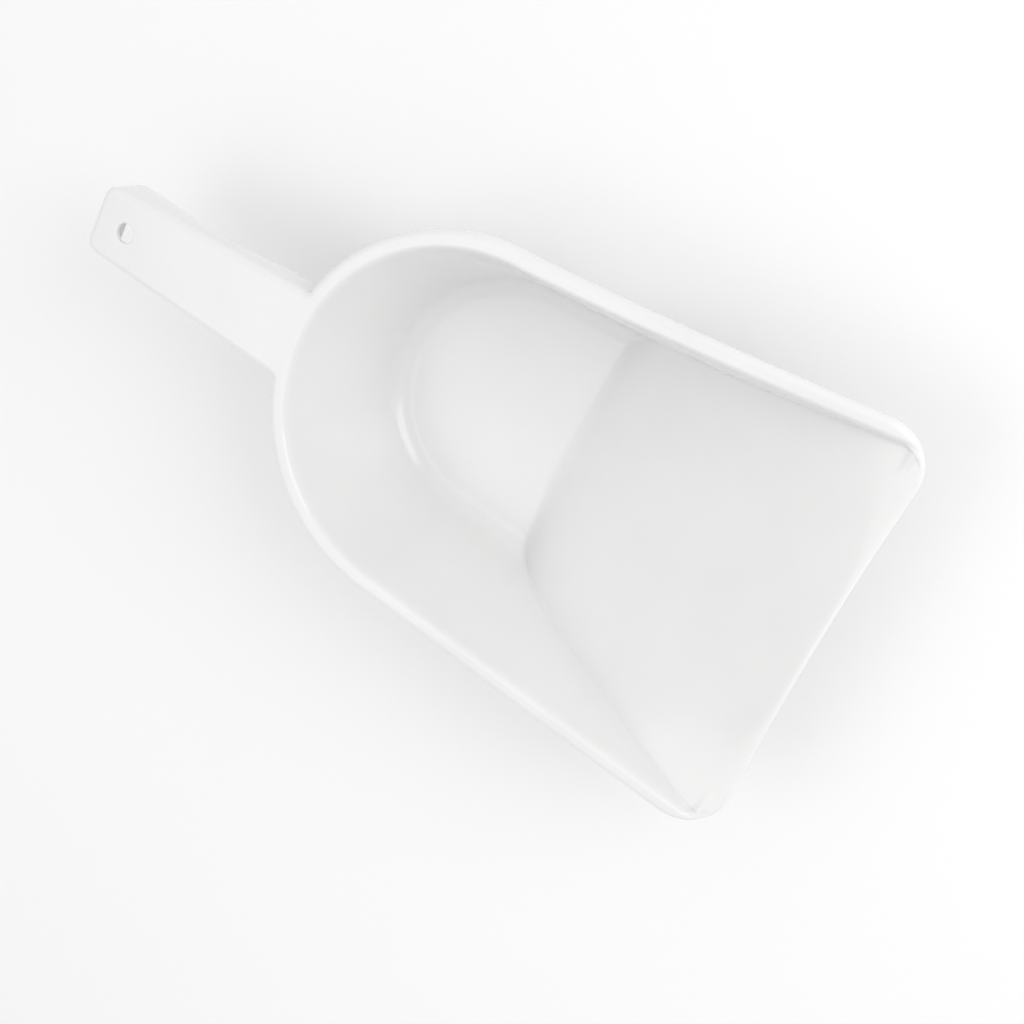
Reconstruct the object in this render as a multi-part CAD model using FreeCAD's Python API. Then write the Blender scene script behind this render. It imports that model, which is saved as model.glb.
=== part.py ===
import FreeCAD, Part
import math
import os
from FreeCAD import Vector

os.makedirs("parts", exist_ok=True)

# Ice scoop: one thin-walled plastic moulding, divided into its named features.
# Millimetres. +X runs from the handle to the lip, +Z is up, the base rests on Z = 0.

# overall
HEIGHT = 67.5          # base to rim crest
WALL = 2.5
BACK_X = 4.7           # centre of the round back
LIP_X = 162.64         # front line, before the corners are rounded
LIP_RECESS = 2.0       # the lip's middle sits this far behind its ends,
LIP_RECESS_HALF = 70.0  # which are this far out from the middle

# bowl
FLOOR_Z = 2.5          # inner floor level
RIM_R = 67.6           # inner radius of the round back, at the crest
FOOT_R = 50.0          # the same at the inner floor
FLARE = math.radians(4.0)
BOW = 5.5              # outward bow of the side at the crest, BOW_RUN ahead
BOW_RUN = 138.0
HEEL_R = 10.0          # inner radius between floor and wall
HEEL_TOP = 10.0        # height where the heel gives way to the wall

# ramp
KINK_X = BACK_X + 30.0
RAMP_SLOPE = 0.417
TROUGH = 8.5           # how far the ramp's edges stand above its middle
TROUGH_START = 4.0     # behind this distance from the kink the trough turns over
TROUGH_RUN = 12.0
LIP_FLATTEN = 5.5      # how much of the trough is gone at the lip

# rim
BEAD = 6.6             # rim width, inner edge to outer edge
SKIRT = 5.0            # rim depth
RIM_BOW = 2.75
DIP = 6.9              # drop of the rim at BOW_RUN
CORNER_R = 19.0
EDGE_R = 3.0           # rounding of the rim's and handle's outer top edge

# handle
HANDLE_X = BACK_X - 167.2
HANDLE_END_W = 14.6    # half width at the free end
HANDLE_ROOT_W = 17.9   # half width at the rim
HANDLE_CORNER_R = 5.0
ROOT_R = 3.0
HOLE_R = 4.0
HOLE_INSET = 15.0
# lower edge, as distances from BACK_X and from the crest: the finger arch, then the notch
ARCH = ((-172.0, -21.4), (-148.0, -17.6), (-130.0, -12.8),
        (-115.0, -11.7), (-100.0, -13.5), (-88.0, -16.0))
NOTCH = ((-87.0, -18.0), (-85.0, -15.0), (-40.0, -14.5))

LIP_BAND = 9.0         # front end of the ramp that counts as the lip
FAR = 220.0            # past the ends of everything


def outline(radius, bow, run, z):
    """U-shaped outline, open end forward and closed by a straight line."""
    c, s = math.cos(FLARE), math.sin(FLARE)
    points = []
    for t in (0.0, 0.5, 1.0):
        out = bow * (t * run / BOW_RUN) ** 2
        x = BACK_X - radius * s + t * run * c - out * s
        y = radius * c + t * run * s + out * c
        points.append((x, y))
    left = [Vector(x, y, z) for x, y in points]
    right = [Vector(x, -y, z) for x, y in points]
    back = Part.Arc(left[0], Vector(BACK_X - radius, 0, z), right[0]).toShape()
    if bow < 0.01:
        sides = [Part.makeLine(left[2], left[0]), Part.makeLine(right[0], right[2])]
    else:
        sides = [Part.Arc(left[2], left[1], left[0]).toShape(),
                 Part.Arc(right[0], right[1], right[2]).toShape()]
    front = Part.makeLine(right[2], left[2])
    return Part.Wire([sides[0], back, sides[1], front])


def bowl_form(z0, z1, offset):
    """Drafted bowl shape between two heights, its wall moved out by offset."""
    wires = []
    for z in (z0, z1):
        t = (z - FLOOR_Z) / (HEIGHT - FLOOR_Z)
        radius = FOOT_R + (RIM_R - FOOT_R) * t + offset
        wires.append(outline(radius, max(BOW * t, 0.05), FAR, z))
    return Part.makeLoft(wires, True, True)


def heel_edges(form, z):
    """Bottom edges of a bowl form, without the straight front one."""
    found = []
    for edge in form.Edges:
        box = edge.BoundBox
        if abs(box.ZMin - z) < 0.01 and abs(box.ZMax - z) < 0.01 and box.XMin < BACK_X + 20:
            found.append(edge)
    return found


def ramp_height(x, y):
    """Ramp surface: a straight slope with a trough that fades in from the kink."""
    run = x - KINK_X
    half = FOOT_R + 0.27 * run
    rise = TROUGH * (1.0 - math.exp(-(run - TROUGH_START) / TROUGH_RUN))
    rise -= LIP_FLATTEN * max(0.0, (run - 85.0) / 42.0) ** 2
    return FLOOR_Z + RAMP_SLOPE * run + rise * (y / half) ** 2


def ramp_block(drop):
    """Everything under the ramp surface, lowered by drop."""
    runs = [-3, 0, 3, 6, 10, 15, 21, 29, 40, 55, 72, 90, 105, 118, 130, 142]
    grid = []
    for run in runs:
        x = KINK_X + run
        grid.append([Vector(x, y, ramp_height(x, y) - drop) for y in range(-96, 97, 24)])
    surface = Part.BSplineSurface()
    surface.interpolate(grid)
    return surface.toShape().extrude(Vector(0, 0, -200))


def crest_block(drop):
    """Everything above the rim crest: level at the back, dipping to the lip."""
    z = HEIGHT - drop
    fall = DIP * (FAR / BOW_RUN) ** 2
    start = Vector(BACK_X, -FAR, z)
    end = Vector(BACK_X + FAR, -FAR, z - fall)
    dip = Part.Arc(start, Vector(BACK_X + FAR / 2, -FAR, z - fall / 4), end)
    corners = [end, Vector(BACK_X + FAR, -FAR, z + 100),
               Vector(-FAR, -FAR, z + 100), Vector(-FAR, -FAR, z), start]
    edges = [dip.toShape()]
    edges += [Part.makeLine(a, b) for a, b in zip(corners, corners[1:])]
    return Part.Face(Part.Wire(edges)).extrude(Vector(0, 2 * FAR, 0))


def slab(x0, x1, y0, y1, z0, z1):
    return Part.makeBox(x1 - x0, y1 - y0, z1 - z0, Vector(x0, y0, z0))


def prism(points, z0, z1):
    wire = Part.makePolygon([Vector(x, y, z0) for x, y in points + points[:1]])
    return Part.Face(wire).extrude(Vector(0, 0, z1 - z0))


def front_cut(z0, z1):
    """Everything ahead of the lip, whose line is slightly hollow in plan."""
    half = 110.0
    reach = LIP_RECESS * (half / LIP_RECESS_HALF) ** 2
    lip = Part.Arc(Vector(LIP_X - LIP_RECESS + reach, -half, z0),
                   Vector(LIP_X - LIP_RECESS, 0, z0),
                   Vector(LIP_X - LIP_RECESS + reach, half, z0)).toShape()
    ends = lip.Vertexes
    a, b = ends[0].Point, ends[-1].Point
    far_b, far_a = Vector(FAR * 2, b.y, z0), Vector(FAR * 2, a.y, z0)
    edges = [lip, Part.makeLine(b, far_b), Part.makeLine(far_b, far_a), Part.makeLine(far_a, a)]
    return Part.Face(Part.Wire(edges)).extrude(Vector(0, 0, z1 - z0))


def handle_strip(x1, inset, z0, z1):
    """Tapered strip in plan from the free end to x1, drawn in by inset."""
    slope = (HANDLE_ROOT_W - HANDLE_END_W) / (BACK_X - RIM_R - BEAD - HANDLE_X)
    x0 = HANDLE_X + inset
    w0 = HANDLE_END_W + slope * inset - inset
    w1 = HANDLE_END_W + slope * (x1 - HANDLE_X) - inset
    return prism([(x0, -w0), (x1, -w1), (x1, w1), (x0, w0)], z0, z1)


def upright_edges(shape, test):
    found = []
    for edge in shape.Edges:
        box = edge.BoundBox
        if box.XLength < 0.01 and box.YLength < 0.01 and box.ZLength > 1:
            if test(box.XMin, abs(box.YMin)):
                found.append(edge)
    return found


def envelope():
    """Plan form of rim and handle: full height, and its top band with rounded edges."""
    rim = Part.Face(outline(RIM_R + BEAD, RIM_BOW, FAR, -5)).extrude(Vector(0, 0, HEIGHT + 10))
    rim = rim.cut(front_cut(-6, HEIGHT + 6))
    plan = rim.fuse(handle_strip(BACK_X - 40, 0, -5, HEIGHT + 5)).removeSplitter()
    plan = plan.makeFillet(CORNER_R, upright_edges(plan, lambda x, y: x > LIP_X - 10))
    plan = plan.makeFillet(HANDLE_CORNER_R, upright_edges(plan, lambda x, y: x < HANDLE_X + 1))
    root = upright_edges(plan, lambda x, y: -90 < x < -50 and y < 25)
    plan = plan.makeFillet(ROOT_R, root)

    top = plan.cut(crest_block(0)).common(slab(-FAR, FAR, -FAR, FAR, HEIGHT - 24, HEIGHT + 1))
    crest = []
    for edge in top.Edges:
        if edge.BoundBox.ZMin > HEIGHT - 16 and edge.BoundBox.YLength + edge.BoundBox.XLength > 0.3:
            crest.append(edge)
    return plan, top.makeFillet(EDGE_R, crest)


def arch():
    """Everything above the handle's lower edge: deep at the end, arched for the fingers."""
    edge = [Vector(BACK_X + x, -60, HEIGHT + z) for x, z in ARCH]
    curve = Part.BSplineCurve()
    curve.interpolate(edge)
    rest = [Vector(BACK_X + x, -60, HEIGHT + z) for x, z in NOTCH]
    above = [Vector(rest[-1].x, -60, HEIGHT + 20), Vector(edge[0].x, -60, HEIGHT + 20)]
    corners = [edge[-1]] + rest + above + [edge[0]]
    edges = [curve.toShape()]
    edges += [Part.makeLine(p, q) for p, q in zip(corners, corners[1:])]
    return Part.Face(Part.Wire(edges)).extrude(Vector(0, 120, 0))


def save(name, shape):
    """Writes one node, which has to be a single valid solid."""
    if len(shape.Solids) != 1 or not shape.Solids[0].isValid():
        raise ValueError(name + " is not one valid solid")
    shape.Solids[0].exportStep("parts/" + name + ".step")


def bowl_parts(plan, top_form):
    """Floor, heel, walls, ramp and rim, with the forms that the handle is cut against."""
    skin = WALL / math.cos(math.atan((RIM_R - FOOT_R) / (HEIGHT - FLOOR_Z)))
    ramp_drop = WALL / math.cos(math.atan(RAMP_SLOPE))
    under_ramp = ramp_block(0)

    inside = bowl_form(FLOOR_Z, HEIGHT + 10, 0)
    cavity = inside.makeFillet(HEEL_R, heel_edges(inside, FLOOR_Z)).cut(under_ramp)
    outside = bowl_form(0, HEIGHT + 5, skin)
    outside = outside.makeFillet(HEEL_R + WALL, heel_edges(outside, 0))
    shell = outside.cut(ramp_block(ramp_drop)).cut(cavity)
    shell = shell.cut(crest_block(0)).common(plan)

    ramp_form = under_ramp.common(bowl_form(-5, HEIGHT + 10, skin / 2))
    ramp = shell.common(ramp_form)
    walls = shell.cut(ramp_form)
    foot = Part.Face(outline(FOOT_R - HEEL_R * 0.765, 0, FAR, -1)).extrude(Vector(0, 0, 20))
    floor = walls.common(foot)
    walls = walls.cut(foot)
    upper = slab(-FAR, FAR, -FAR, FAR, HEEL_TOP, 2 * HEIGHT)
    heel = walls.cut(upper)
    walls = walls.common(upper).cut(crest_block(SKIRT))

    disc = Part.Face(outline(RIM_R + BEAD, RIM_BOW, FAR, -5)).extrude(Vector(0, 0, HEIGHT + 20))
    rim = top_form.common(crest_block(SKIRT)).common(disc).cut(cavity).cut(ramp_form)
    return floor, heel, walls, ramp, rim, outside, disc


def handle_parts(top_form, outside, disc):
    """Top plate, end wall and the two sides of the channel-shaped handle."""
    strip = handle_strip(BACK_X - 40, 0, HEIGHT - 24, HEIGHT + 1)
    high = top_form.common(crest_block(SKIRT)).cut(disc)
    low = top_form.common(strip).cut(crest_block(SKIRT)).cut(outside)
    handle = high.fuse(low).removeSplitter().common(arch())
    channel = handle_strip(BACK_X - 40, WALL, HEIGHT - 30, HEIGHT - WALL)
    handle = handle.cut(channel)
    hole = Part.makeCylinder(HOLE_R, 20, Vector(HANDLE_X + HOLE_INSET, 0, HEIGHT - 10))
    top = handle.common(crest_block(WALL)).cut(hole)
    webs = handle.cut(crest_block(WALL))
    end_x = HANDLE_X + WALL
    end = webs.common(slab(-FAR, end_x, -50, 50, 0, HEIGHT))
    sides = webs.common(slab(end_x, FAR, -50, 50, 0, HEIGHT))
    left = sides.common(slab(-FAR, FAR, 0, 50, 0, HEIGHT))
    right = sides.common(slab(-FAR, FAR, -50, 0, 0, HEIGHT))
    return top, end, left, right


def halves(shape, x0, x1):
    """The left (+Y) and right (-Y) parts of a shape between two stations."""
    left = shape.common(slab(x0, x1, 0, FAR, -10, 2 * HEIGHT))
    right = shape.common(slab(x0, x1, -FAR, 0, -10, 2 * HEIGHT))
    return left, right


def main():
    plan, top_form = envelope()
    floor, heel, walls, ramp, rim, outside, disc = bowl_parts(plan, top_form)
    top, end, side_left, side_right = handle_parts(top_form, outside, disc)

    rear = slab(-FAR, BACK_X, -FAR, FAR, -10, 2 * HEIGHT)
    lip_line = LIP_X - LIP_BAND
    corner_line = LIP_X - CORNER_R - 4.0
    save("bowl_floor", floor)
    save("bowl_ramp", ramp.common(slab(-FAR, lip_line, -FAR, FAR, -10, 2 * HEIGHT)))
    save("bowl_lip", ramp.common(slab(lip_line, FAR, -FAR, FAR, -10, 2 * HEIGHT)))
    save("bowl_heel_back", heel.common(rear))
    save("bowl_wall_back", walls.common(rear))
    save("rim_back", rim.common(rear))
    for side, heel_half, wall_half in zip(("left", "right"), halves(heel, BACK_X, FAR),
                                          halves(walls, BACK_X, FAR)):
        save("bowl_heel_" + side, heel_half)
        save("bowl_wall_" + side, wall_half)
    for side, rim_half, corner in zip(("left", "right"), halves(rim, BACK_X, corner_line),
                                      halves(rim, corner_line, FAR)):
        save("rim_" + side, rim_half)
        save("rim_corner_" + side, corner)
    save("handle_top", top)
    save("handle_end", end)
    save("handle_side_left", side_left)
    save("handle_side_right", side_right)


main()
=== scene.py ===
import bmesh
import bpy
from math import acos, asin, atan, atan2, cos, exp, hypot, pi, radians, sin, sqrt, tan
from mathutils import Matrix, Vector

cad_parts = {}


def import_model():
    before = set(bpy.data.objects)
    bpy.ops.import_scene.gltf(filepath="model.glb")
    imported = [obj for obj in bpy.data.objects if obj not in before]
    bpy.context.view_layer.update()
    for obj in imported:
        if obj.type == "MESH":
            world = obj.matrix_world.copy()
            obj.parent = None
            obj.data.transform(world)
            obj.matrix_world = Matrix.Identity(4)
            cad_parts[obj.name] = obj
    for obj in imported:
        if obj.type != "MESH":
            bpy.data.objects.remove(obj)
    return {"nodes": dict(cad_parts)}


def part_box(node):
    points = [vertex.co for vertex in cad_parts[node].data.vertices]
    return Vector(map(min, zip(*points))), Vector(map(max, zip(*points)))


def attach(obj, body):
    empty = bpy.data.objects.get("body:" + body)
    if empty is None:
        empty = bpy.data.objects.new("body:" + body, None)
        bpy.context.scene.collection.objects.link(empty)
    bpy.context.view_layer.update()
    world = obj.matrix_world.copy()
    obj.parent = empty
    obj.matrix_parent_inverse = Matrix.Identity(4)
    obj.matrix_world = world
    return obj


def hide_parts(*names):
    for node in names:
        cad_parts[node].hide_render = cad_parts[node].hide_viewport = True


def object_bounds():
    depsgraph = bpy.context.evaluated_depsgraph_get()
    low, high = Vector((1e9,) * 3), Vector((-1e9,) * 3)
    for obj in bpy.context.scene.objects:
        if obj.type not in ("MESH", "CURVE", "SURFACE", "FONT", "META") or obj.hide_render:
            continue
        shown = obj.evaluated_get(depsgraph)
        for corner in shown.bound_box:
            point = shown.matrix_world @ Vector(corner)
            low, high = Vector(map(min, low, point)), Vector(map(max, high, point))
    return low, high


# Ice scoop in glossy white plastic, drawn as one seamless moulding.
# The shape is worked out in millimetres and becomes metres when a mesh is made.

MM = 0.001
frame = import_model()
start_low, start_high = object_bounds()

# ---------------------------------------------------------------- driving dimensions

# overall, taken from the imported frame
HANDLE_X, LIP_END, CREST = start_low.x / MM, start_high.x / MM, start_high.z / MM
BACK_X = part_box("bowl_wall_back")[1].x / MM        # centre of the round back
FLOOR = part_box("bowl_floor")[1].z / MM             # inner floor level
LIP_RUN = LIP_END - BACK_X
WALL = 2.5

# rim
RIM_OUT = BACK_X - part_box("rim_back")[0].x / MM    # outer radius of the round back
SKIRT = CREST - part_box("rim_back")[0].z / MM       # rim depth
BEAD = 6.6                                         # rim width
RIM_IN = RIM_OUT - BEAD - 0.02
EDGE_R = 3.0                                       # rounding of the outer top edge
UNDER_EDGE_R = 0.6                                 # and of the edge below it
LEAST_SKIN = 1.8                                   # thinnest that the moulding gets
DIP = 6.9                                          # drop of the rim at BOW_RUN
CORNER_R = 19.0

# bowl
FOOT = 50.0                                        # radius of the round back at the floor
FLARE = radians(4.0)
BOW_RUN, BOW_IN, BOW_OUT = 138.0, 5.5, 2.75        # the sides' curve inside and outside
BOW_LEAD, BOW_LEAD_RUN = 5.0, 10.0                 # it starts this far behind the back's centre
HEEL_R = 10.0                                      # inner radius between floor and wall

# ramp and lip
KINK_RUN = 30.0
RAMP_SLOPE = 0.417
RAMP_FLARE = 0.27
TROUGH, TROUGH_START, TROUGH_RUN = 8.5, 4.0, 12.0
LIP_FLATTEN, FLATTEN_START, FLATTEN_RUN = 5.5, 85.0, 42.0
LIP_RECESS, LIP_RECESS_HALF = 2.0, 72.0            # the lip's middle sits behind its ends

# handle
HANDLE_END_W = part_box("handle_end")[1].y / MM      # half width at the free end
HANDLE_ROOT_W = 17.9                               # half width at the rim
HANDLE_CORNER_R = 5.0
ROOT_R = 3.0
HOLE_R, HOLE_INSET = 4.0, 15.0

WALL_RISE = (CREST - FLOOR) / (RIM_IN - FOOT)
SKIN = WALL * sqrt(1 + WALL_RISE ** -2)            # wall thickness measured level
RAMP_DROP = WALL * sqrt(1 + RAMP_SLOPE ** 2)       # ramp thickness measured upright


def blend_max(a, b, r):
    """The larger of two heights, rounded where they cross."""
    h = max(r - abs(a - b), 0.0) / r
    return max(a, b) + h * h * r / 4


def blend_min(a, b, r):
    """The smaller of two heights, rounded where they cross."""
    return -blend_max(-a, -b, r)


# ---------------------------------------------------------------- bowl, as heights over its plan
# run is the distance ahead of the round back's centre, reach the distance out from the middle.

def crest(run):
    """Top of the rim: level at the back, dipping towards the lip."""
    return CREST - DIP * (max(run, 0) / BOW_RUN) ** 2


def foot_reach(run, offset):
    """Distance out to where the wall's line meets the inner floor's level."""
    return FOOT + offset + max(run, 0) * tan(FLARE)


def bow_share(run):
    """How much of the sides' outward curve is reached, 1 at BOW_RUN less its lead."""
    ahead = max(run, 0)
    return ((ahead + BOW_LEAD * min(ahead / BOW_LEAD_RUN, 1.0)) / BOW_RUN) ** 2


def wall_spread(run):
    """How far the wall leans out between the floor and the crest."""
    return RIM_IN - FOOT + BOW_IN * bow_share(run)


def bowl_height(run, reach, base, offset):
    """Floor, heel and wall: a level, an arc and a straight lean."""
    lean = (CREST - FLOOR) / wall_spread(run)
    foot = foot_reach(run, offset) + (base - FLOOR) / lean
    radius = HEEL_R + FLOOR - base
    turn = atan(lean)
    back = radius * tan(turn / 2)
    d = reach - foot
    if d <= -back:
        return base
    if d < -back + radius * sin(turn):
        return base + radius - sqrt(radius ** 2 - (d + back) ** 2)
    return base + lean * d


def ramp_height(run, reach):
    """A straight slope with a trough that fades in from the kink and out at the lip."""
    r = run - KINK_RUN
    if r < -9:
        return -40.0
    rise = TROUGH * (1 - exp(-(r - TROUGH_START) / TROUGH_RUN))
    rise -= LIP_FLATTEN * max(0.0, (r - FLATTEN_START) / FLATTEN_RUN) ** 2
    return FLOOR + RAMP_SLOPE * r + rise * (reach / (FOOT + RAMP_FLARE * r)) ** 2


def rim_reach(run):
    """Distance out to the rim's outer edge, before the front corner turns in."""
    return RIM_OUT + max(run, 0) * tan(FLARE) + BOW_OUT * bow_share(run)


CORNER_RUN = LIP_RUN - CORNER_R
CORNER_LEAN = atan(rim_reach(CORNER_RUN + 0.5) - rim_reach(CORNER_RUN - 0.5))
CORNER_START = CORNER_RUN - CORNER_R * sin(CORNER_LEAN)
CORNER_REACH = rim_reach(CORNER_START) - CORNER_R * cos(CORNER_LEAN)


def outer_reach(run):
    """Distance out to the edge of the moulding, front corner included."""
    if run <= CORNER_START:
        return rim_reach(run)
    return CORNER_REACH + sqrt(max(CORNER_R ** 2 - (run - CORNER_RUN) ** 2, 0.0))


def edge_distance(run, reach):
    """Distance in plan from a point to the edge of the moulding."""
    if run > CORNER_RUN and reach < CORNER_REACH:
        return max(LIP_RUN - run, 0.0)
    if run > CORNER_START and reach > CORNER_REACH:
        return max(CORNER_R - hypot(run - CORNER_RUN, reach - CORNER_REACH), 0.0)
    return max(min((outer_reach(run) - reach) * cos(CORNER_LEAN), LIP_RUN - run), 0.0)


def ease(t):
    """Goes from 0 to 1 with a level start and end."""
    t = min(max(t, 0.0), 1.0)
    return t * t * (3 - 2 * t)


def corner_bead(run, reach):
    """The rim carried round the front corner, narrowing until it is the lip's edge."""
    turn = atan2(max(run - CORNER_RUN, 0.0), max(reach - CORNER_REACH, 0.01))
    fade = ease((turn - radians(25)) / radians(60))
    width = BEAD - (BOW_IN - BOW_OUT) * (min(run, CORNER_RUN) / BOW_RUN) ** 2 - 0.3
    depth = 3.6 * max(edge_distance(run, reach) - width * (1 - fade), 0.0)
    return crest(run) - 2.5 * fade - depth


def under_height(run, reach):
    """Outside of the bowl and underside of the rim."""
    shell = blend_max(bowl_height(run, reach, 0.0, SKIN), ramp_height(run, reach) - RAMP_DROP, 2.5)
    return blend_min(shell, crest(run) - SKIRT, 2.0)


def inner_height(run, reach):
    """Inside of the bowl and top of the rim."""
    shell = blend_max(bowl_height(run, reach, FLOOR, 0.0), ramp_height(run, reach), 2.2)
    if run > CORNER_START - 20:
        shell = blend_max(shell, corner_bead(run, reach), 1.0)
    return blend_min(shell, crest(run), 5.0)


def rounded(d, radius):
    """How far a rounded edge has fallen at a distance d in from it."""
    if d >= radius:
        return 0.0
    return radius - sqrt(max(radius ** 2 - (radius - d) ** 2, 0.0))


def top_and_bottom(run, reach):
    """Heights of the two skins, with the outer edge rounded."""
    top, bottom = inner_height(run, reach), under_height(run, reach)
    bottom = min(bottom, top - LEAST_SKIN)
    d = edge_distance(run, reach)
    radius = min(EDGE_R, 0.5 * (top - bottom))
    fall = rounded(d, radius)
    lift = rounded(d, UNDER_EDGE_R if radius > 2 else radius)
    return top - fall, bottom + lift


def crease_reach(run, height):
    """Distance out to where the ramp and the wall cross, found by halving."""
    low, high = 20.0, 100.0
    for _ in range(30):
        mid = (low + high) / 2
        if height(run, mid) < ramp_height(run, mid):
            low = mid
        else:
            high = mid
    return low


def zones(run, side):
    """Break points along one station, closest together where the surface turns."""
    outer = outer_reach(run)
    if side == "inner":
        base, offset, lean_r, cap = FLOOR, 0.0, HEEL_R, crest(run)
    else:
        base, offset, lean_r, cap = 0.0, SKIN, HEEL_R + FLOOR, crest(run) - SKIRT
    lean = (CREST - FLOOR) / wall_spread(run)
    foot = foot_reach(run, offset) + (base - FLOOR) / lean
    drop = 0.0 if side == "inner" else RAMP_DROP
    crease = crease_reach(run, lambda r, y: bowl_height(r, y, base, offset) + drop)
    share = ease((ramp_height(run, foot) - drop - base) / 8.0)
    start = (foot - 0.77 * lean_r) * (1 - share) + (crease - 1.0) * share
    end = (foot + 0.2 * lean_r) * (1 - share) + (crease + 0.9) * share
    rim = foot + (cap - base) / lean
    edge = EDGE_R if side == "inner" else 0.7
    breaks = [0.0, start, end, rim - 1.5, rim + 1.5, outer - edge, outer]
    for i in range(len(breaks) - 2, 0, -1):
        breaks[i] = min(breaks[i], breaks[i + 1] - 0.12)
    return breaks


STEPS = {"inner": (14, 10, 12, 8, 3, 8), "under": (14, 10, 12, 6, 3, 4)}


def reaches(run, side):
    """All places along one station, from the middle to the edge."""
    breaks = zones(run, side)
    steps = STEPS[side]
    out = [0.0]
    for i, count in enumerate(steps):
        a, b = breaks[i], breaks[i + 1]
        for k in range(1, count + 1):
            t = k / count
            if i == len(steps) - 1:
                t = sin(t * pi / 2)
            out.append(a + (b - a) * t)
    return out


def station_runs():
    """Runs from the round back's centre to the lip, close at the kink, corner and lip edge."""
    runs = [2.5 * i for i in range(9)]
    runs += [21.0 + 0.9 * i for i in range(31)]
    runs += [50.0 + 2.0 * i for i in range(int((CORNER_START - 14 - 50) / 2.0))]
    last, steps = runs[-1], 14
    runs += [last + (CORNER_RUN - last) * i / steps for i in range(1, steps + 1)]
    runs += [CORNER_RUN + CORNER_R * sin(radians(3.5 * i)) for i in range(1, 17)]
    left = LIP_RUN - runs[-1]
    runs += [LIP_RUN - left * (1 - sin(radians(7.5 * i))) for i in range(1, 13)]
    return runs


def bowl_mesh():
    """Inner and under skin over the same stations, closed along the edge and the lip."""
    verts, faces = [], []
    runs = station_runs()
    fan = [pi / 2 + pi * i / 72 for i in range(1, 72)]
    rows = [("left", r) for r in reversed(runs)] + [("back", a) for a in fan]
    rows += [("right", r) for r in runs]
    centre = {}

    def place(kind, value, reach, side):
        run = 0.0 if kind == "back" else value
        recess = LIP_RECESS * (1 - (reach / LIP_RECESS_HALF) ** 2) * (run / LIP_RUN) ** 4
        z = top_and_bottom(run, reach)[0 if side == "inner" else 1]
        if kind == "back":
            return (BACK_X + reach * cos(value), reach * sin(value), z)
        sign = 1 if kind == "left" else -1
        return (BACK_X + run - max(recess, -0.3), sign * reach, z)

    def add(point):
        verts.append([c * MM for c in point])
        return len(verts) - 1

    table = {}
    for side in ("inner", "under"):
        lines = []
        for kind, value in rows:
            key = (side, 0.0 if kind == "back" else value)
            if key not in centre:
                centre[key] = add(place("left", key[1], 0.0, side))
            line = [centre[key]]
            run = 0.0 if kind == "back" else value
            for reach in reaches(run, side)[1:]:
                line.append(add(place(kind, value, reach, side)))
            lines.append(line)
        table[side] = lines

    def skin(lines, flip):
        for a, b in zip(lines, lines[1:]):
            for j in range(len(a) - 1):
                quad = [a[j], a[j + 1], b[j + 1], b[j]]
                quad = [v for i, v in enumerate(quad) if v not in quad[:i]]
                faces.append(quad[::-1] if flip else quad)

    skin(table["inner"], True)
    skin(table["under"], False)
    top, low = [line[-1] for line in table["inner"]], [line[-1] for line in table["under"]]
    for i in range(len(top) - 1):
        faces.append([top[i], top[i + 1], low[i + 1], low[i]])
    for end in (0, -1):
        a, b = table["inner"][end], table["under"][end]
        lip = front_strip(a, b, verts)
        faces.extend(lip if end == 0 else [f[::-1] for f in lip])
    return make_object("scoop", verts, faces)


def front_strip(a, b, verts):
    """Closes the lip's front edge between the two surfaces, whose points are spaced differently."""
    faces, i, j = [], 0, 0
    past = max(abs(verts[v][1]) for v in (a[-1], b[-1])) + 1.0
    while i < len(a) - 1 or j < len(b) - 1:
        ahead_a = abs(verts[a[i + 1]][1]) if i < len(a) - 1 else past
        ahead_b = abs(verts[b[j + 1]][1]) if j < len(b) - 1 else past
        if ahead_a <= ahead_b:
            faces.append([a[i], b[j], a[i + 1]])
            i += 1
        else:
            faces.append([a[i], b[j], b[j + 1]])
            j += 1
    return faces


def make_object(name, verts, faces):
    """A closed mesh with its faces turned outward."""
    mesh = bpy.data.meshes.new(name)
    mesh.from_pydata(verts, [], faces)
    shape = bmesh.new()
    shape.from_mesh(mesh)
    bmesh.ops.recalc_face_normals(shape, faces=shape.faces)
    shape.to_mesh(mesh)
    shape.free()
    obj = bpy.data.objects.new(name, mesh)
    bpy.context.scene.collection.objects.link(obj)
    return obj


# ---------------------------------------------------------------- handle

SLOPE = (HANDLE_ROOT_W - HANDLE_END_W) / (BACK_X - RIM_OUT - HANDLE_X)


def strip_width(x):
    """Half width of the tapered handle."""
    return HANDLE_END_W + SLOPE * (x - HANDLE_X)


# lower edge, as distances from BACK_X and from the crest: the finger arch, then the notch
ARCH = ((-172.0, -21.4), (-148.0, -17.6), (-130.0, -12.8),
        (-115.0, -11.7), (-100.0, -13.5), (-88.0, -16.0))
NOTCH = ((-88.0, -16.0), (-87.0, -18.0), (-86.2, -18.0), (-85.0, -15.0), (-40.0, -14.5))


def arch_height(x):
    """Lower edge of the handle's sides, smooth through the arch and straight past the notch."""
    x -= BACK_X
    points = ARCH if x < ARCH[-1][0] else NOTCH
    for i in range(len(points) - 1):
        (x0, z0), (x1, z1) = points[i], points[i + 1]
        if x <= x1:
            break
    t = min(max((x - x0) / (x1 - x0), 0.0), 1.0)
    if points is NOTCH:
        return CREST + z0 + (z1 - z0) * t
    before, after = points[max(i - 1, 0)], points[min(i + 2, len(points) - 1)]
    m0 = (z1 - before[1]) / (x1 - before[0]) * (x1 - x0)
    m1 = (after[1] - z0) / (after[0] - x0) * (x1 - x0)
    start = (2 * t ** 3 - 3 * t ** 2 + 1) * z0 + (t ** 3 - 2 * t ** 2 + t) * m0
    end = (3 * t ** 2 - 2 * t ** 3) * z1 + (t ** 3 - t ** 2) * m1
    return CREST + start + end


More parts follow.
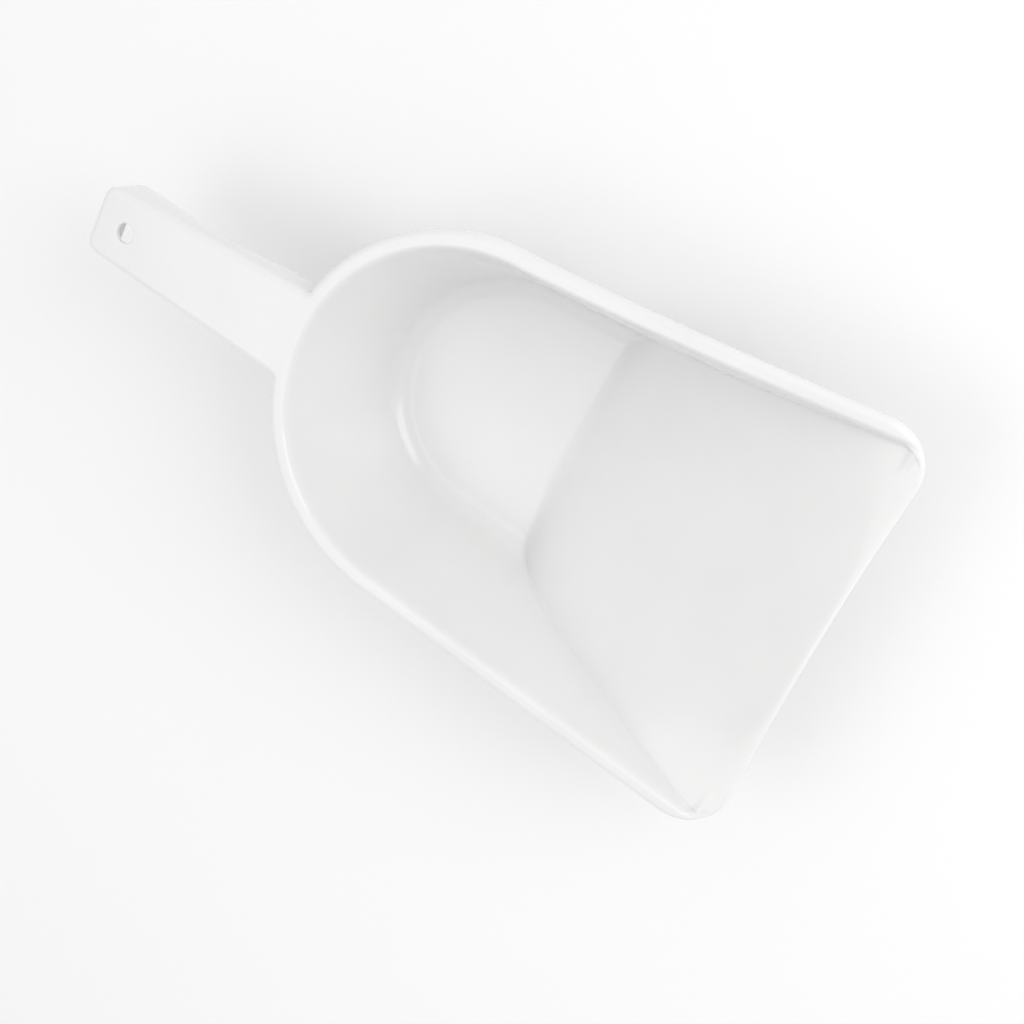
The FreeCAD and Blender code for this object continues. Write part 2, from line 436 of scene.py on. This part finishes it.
def handle_side_points():
    """One long side in plan, free end to bowl: (upper place, lower place, outward normal)."""
    r = HANDLE_CORNER_R
    points = []
    cx, cy = HANDLE_X + r, strip_width(HANDLE_X) - r
    for k in range(9):
        a = pi - (pi / 2) * k / 8
        p = (cx + r * cos(a), cy + r * sin(a))
        points.append((p, p, (cos(a), sin(a))))
    root_y = strip_width(BACK_X - RIM_OUT) + ROOT_R
    root_x = BACK_X - sqrt((RIM_OUT + ROOT_R) ** 2 - root_y ** 2)
    xs = [cx + (root_x - cx) * k / 60 for k in range(1, 61)]
    xs += [BACK_X + x for x, z in NOTCH[:-1] if BACK_X + x < root_x]
    for x in sorted(xs):
        p = (x, strip_width(x))
        points.append((p, p, (0.0, 1.0)))
    end_a = acos((BACK_X - root_x) / (RIM_OUT + ROOT_R))
    for k in range(1, 9):
        a = -pi / 2 + (pi / 2 - end_a) * k / 8
        up = (root_x + ROOT_R * cos(a), root_y + ROOT_R * sin(a))
        x = root_x + (BACK_X - 66.0 - root_x) * k / 9
        points.append((up, (x, strip_width(x)), (-cos(a), -sin(a))))
    return points


TAIL_UPPER = RIM_OUT - 4.6        # inside the rim's bead
TAIL_AT_SKIRT = RIM_OUT - 6.7     # inside the wall, just under the bead
TAIL_LOW = RIM_OUT - 9.3          # inside the wall, at the handle's lower edge


def tail_points(reach):
    """The handle's buried end: an arc inside the bowl's wall, from the side to the middle."""
    y = strip_width(BACK_X - reach)
    turn = asin(y / reach)
    return [(BACK_X - reach * cos(turn * (1 - k / 8)), reach * sin(turn * (1 - k / 8))) for k in range(8)]


def handle_mesh():
    """Outer form of the handle: arched below, rounded above, its inner end buried in the rim."""
    half = handle_side_points()
    tails = zip(tail_points(TAIL_UPPER), tail_points(TAIL_AT_SKIRT), tail_points(TAIL_LOW))
    half = [(up, low, low, n) for up, low, n in half] + [(a, b, c, (0.0, 0.0)) for a, b, c in tails]
    loop = half + [tuple((x, -y) for x, y in entry) for entry in reversed(half)]
    count = len(loop)
    verts, faces, rings = [], [], []

    def ring(pick, height):
        start = len(verts)
        for entry in loop:
            x, y = pick(entry)
            verts.append([x * MM, y * MM, height(x) * MM])
        rings.append(start)

    ring(lambda e: e[2], arch_height)
    ring(lambda e: e[1], lambda x: CREST - SKIRT)
    ring(lambda e: e[0], lambda x: CREST - SKIRT + 0.02)
    top = CREST - 0.004
    for k in range(9):
        a = (pi / 2) * k / 8
        inset, z = EDGE_R * (1 - cos(a)), top - EDGE_R + EDGE_R * sin(a)
        ring(lambda e: (e[0][0] - e[3][0] * inset, e[0][1] - e[3][1] * inset), lambda x: z)
    for a, b in zip(rings, rings[1:]):
        for i in range(count):
            j = (i + 1) % count
            faces.append([a + i, a + j, b + j, b + i])
    faces.append([rings[-1] + i for i in range(count)])
    for i in range(len(half) - 1):
        faces.append([rings[0] + k for k in (i, i + 1, count - 2 - i, count - 1 - i)])
    return make_object("handle_form", verts, faces)


def channel_mesh():
    """The hollow under the handle, running on into the bowl's wall."""
    x0, x1 = HANDLE_X + WALL, BACK_X - 55.0
    w0, w1 = strip_width(x0) - WALL, strip_width(x1) - WALL
    plan = [(x0, -w0), (x1, -w1), (x1, w1), (x0, w0)]
    verts = [(x * MM, y * MM, z * MM) for z in (CREST - 30, CREST - WALL) for x, y in plan]
    faces = [[3, 2, 1, 0], [4, 5, 6, 7]]
    faces += [[i, (i + 1) % 4, 4 + (i + 1) % 4, 4 + i] for i in range(4)]
    return make_object("channel_form", verts, faces)


def hole_mesh():
    """Hanging hole, its two mouths softened."""
    soft, steps, around = 0.5, 4, 48
    profile = [(HOLE_R + 2.0, CREST + 1.5)]
    for k in range(steps + 1):
        a = (pi / 2) * k / steps
        profile.append((HOLE_R + soft - soft * sin(a), CREST - soft + soft * cos(a)))
    profile += [(r, 2 * CREST - WALL - z) for r, z in reversed(profile)]
    verts, faces = [], []
    for r, z in profile:
        for i in range(around):
            a = 2 * pi * i / around
            x = HANDLE_X + HOLE_INSET + r * cos(a)
            verts.append([x * MM, r * sin(a) * MM, z * MM])
    for k in range(len(profile) - 1):
        for i in range(around):
            j = (i + 1) % around
            faces.append([k * around + i, (k + 1) * around + i, (k + 1) * around + j, k * around + j])
    faces.append(list(range(around)))
    last = (len(profile) - 1) * around
    faces.append([last + i for i in range(around)][::-1])
    return make_object("hole_form", verts, faces)


def apply_modifiers(obj):
    """Turns the modifiers' result into the object's own mesh."""
    depsgraph = bpy.context.evaluated_depsgraph_get()
    made = bpy.data.meshes.new_from_object(obj.evaluated_get(depsgraph))
    obj.modifiers.clear()
    obj.data = made


def combine(obj, other, operation):
    """Cuts away or joins another object, which is then gone."""
    mod = obj.modifiers.new(operation.lower(), "BOOLEAN")
    mod.operation = operation
    mod.solver = "EXACT"
    mod.object = other
    bpy.context.view_layer.update()
    apply_modifiers(obj)
    bpy.data.objects.remove(other)


def soften(obj, width, angle):
    """Rounds every edge sharper than the angle."""
    mod = obj.modifiers.new("soften", "BEVEL")
    mod.width = width * MM
    mod.segments = 3
    mod.limit_method = "ANGLE"
    mod.angle_limit = radians(angle)
    bpy.context.view_layer.update()
    apply_modifiers(obj)


def scoop():
    """Bowl and handle as one mesh, standing for every node of the moulding."""
    handle = handle_mesh()
    combine(handle, channel_mesh(), "DIFFERENCE")
    combine(handle, hole_mesh(), "DIFFERENCE")
    soften(handle, 0.5, 60)
    bowl = bowl_mesh()
    combine(bowl, handle, "UNION")
    for face in bowl.data.polygons:
        face.use_smooth = True
    mod = bowl.modifiers.new("even_normals", "WEIGHTED_NORMAL")
    mod.keep_sharp = True
    bowl.data.materials.clear()
    bowl.data.materials.append(white_plastic())
    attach(bowl, "root")
    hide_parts(*frame["nodes"])
    return bowl


# ---------------------------------------------------------------- material

def white_plastic():
    """Glossy white moulding: faint cloudiness, a fine moulded texture and uneven polish."""
    mat = bpy.data.materials.new("white_plastic")
    mat.use_nodes = True
    nodes, links = mat.node_tree.nodes, mat.node_tree.links
    shader = nodes["Principled BSDF"]
    place = nodes.new("ShaderNodeTexCoord").outputs["Object"]

    def noise(scale, detail, roughness=0.5):
        node = nodes.new("ShaderNodeTexNoise")
        node.inputs["Scale"].default_value = scale
        node.inputs["Detail"].default_value = detail
        node.inputs["Roughness"].default_value = roughness
        links.new(place, node.inputs["Vector"])
        return node.outputs["Fac"]

    def spread(value, low, high):
        node = nodes.new("ShaderNodeMapRange")
        node.inputs["From Min"].default_value = 0.3
        node.inputs["From Max"].default_value = 0.7
        node.inputs["To Min"].default_value = low
        node.inputs["To Max"].default_value = high
        links.new(value, node.inputs["Value"])
        return node.outputs["Result"]

    tint = nodes.new("ShaderNodeMix")
    tint.data_type = "RGBA"
    tint.inputs["A"].default_value = (0.770, 0.772, 0.770, 1)
    tint.inputs["B"].default_value = (0.795, 0.796, 0.795, 1)
    links.new(spread(noise(22, 3), 0, 1), tint.inputs["Factor"])
    links.new(tint.outputs["Result"], shader.inputs["Base Color"])
    links.new(spread(noise(60, 4), 0.11, 0.16), shader.inputs["Roughness"])
    shader.inputs["IOR"].default_value = 1.49
    shader.inputs["Subsurface Weight"].default_value = 0.30
    shader.inputs["Subsurface Radius"].default_value = (1.0, 0.95, 0.9)
    shader.inputs["Subsurface Scale"].default_value = 0.003

    waves = nodes.new("ShaderNodeBump")
    waves.inputs["Strength"].default_value = 0.10
    waves.inputs["Distance"].default_value = 0.0006
    links.new(noise(18, 1), waves.inputs["Height"])
    grain = nodes.new("ShaderNodeBump")
    grain.inputs["Strength"].default_value = 0.06
    grain.inputs["Distance"].default_value = 0.00006
    links.new(noise(1400, 2), grain.inputs["Height"])
    links.new(waves.outputs["Normal"], grain.inputs["Normal"])
    links.new(grain.outputs["Normal"], shader.inputs["Normal"])
    return mat


def paper():
    """Pale matt backdrop with a hardly visible mottle."""
    mat = bpy.data.materials.new("pale_floor")
    mat.use_nodes = True
    nodes, links = mat.node_tree.nodes, mat.node_tree.links
    shader = nodes["Principled BSDF"]
    mottle = nodes.new("ShaderNodeTexNoise")
    mottle.inputs["Scale"].default_value = 3.0
    ramp = nodes.new("ShaderNodeValToRGB")
    ramp.color_ramp.elements[0].color = (0.885, 0.885, 0.885, 1)
    ramp.color_ramp.elements[1].color = (0.905, 0.905, 0.905, 1)
    links.new(nodes.new("ShaderNodeTexCoord").outputs["Object"], mottle.inputs["Vector"])
    links.new(mottle.outputs["Fac"], ramp.inputs["Fac"])
    links.new(ramp.outputs["Color"], shader.inputs["Base Color"])
    shader.inputs["Roughness"].default_value = 0.9
    return mat


# ---------------------------------------------------------------- stage, light, camera

def floor_plane():
    """Backdrop that reaches past the frame's edges."""
    half = 4.0
    mesh = bpy.data.meshes.new("floor")
    corners = [(-half, -half, 0), (half, -half, 0), (half, half, 0), (-half, half, 0)]
    mesh.from_pydata(corners, [], [(0, 1, 2, 3)])
    mesh.materials.append(paper())
    floor = bpy.data.objects.new("floor", mesh)
    bpy.context.scene.collection.objects.link(floor)


def softbox(name, place, aim, width, power):
    """Square soft light, turned to face its aim."""
    data = bpy.data.lights.new(name, "AREA")
    data.shape = "RECTANGLE"
    data.size, data.size_y = width, width
    data.energy = power
    light = bpy.data.objects.new(name, data)
    light.location = place
    light.rotation_euler = (Vector(aim) - Vector(place)).to_track_quat("-Z", "Y").to_euler()
    bpy.context.scene.collection.objects.link(light)


def camera():
    """Looks down on the bowl from the lip's left; the scoop lies across the frame."""
    aim = Vector((BACK_X + 36.9, -12.6, CREST)) * MM
    azimuth, elevation, roll, distance = radians(58.954), radians(64.467), radians(-119.356), 0.633
    away = Vector((cos(elevation) * cos(azimuth), cos(elevation) * sin(azimuth), sin(elevation)))
    level = (-away).cross(Vector((0, 0, 1))).normalized()
    up = level.cross(-away)
    right = level * cos(roll) + up * sin(roll)
    top = away.cross(right)
    data = bpy.data.cameras.new("camera")
    data.sensor_width = 36.0
    data.lens = 60.5
    data.clip_start = 0.01
    cam = bpy.data.objects.new("camera", data)
    place = aim + away * distance
    cam.matrix_world = Matrix.Translation(place) @ Matrix((right, top, away)).transposed().to_4x4()
    bpy.context.scene.collection.objects.link(cam)
    bpy.context.scene.camera = cam


def world():
    """Even white surroundings, shown without tone mapping."""
    w = bpy.data.worlds.new("studio")
    w.use_nodes = True
    w.node_tree.nodes["Background"].inputs["Color"].default_value = (1, 1, 1, 1)
    w.node_tree.nodes["Background"].inputs["Strength"].default_value = 0.84
    bpy.context.scene.world = w
    bpy.context.scene.view_settings.view_transform = "Standard"


floor_plane()
world()
camera()
softbox("key", (0.75, 0.65, 0.75), (0, 0, 0.04), 0.8, 4.8)
softbox("top", (-0.30, -0.25, 1.1), (0, 0, 0.03), 0.7, 1.5)

scoop()
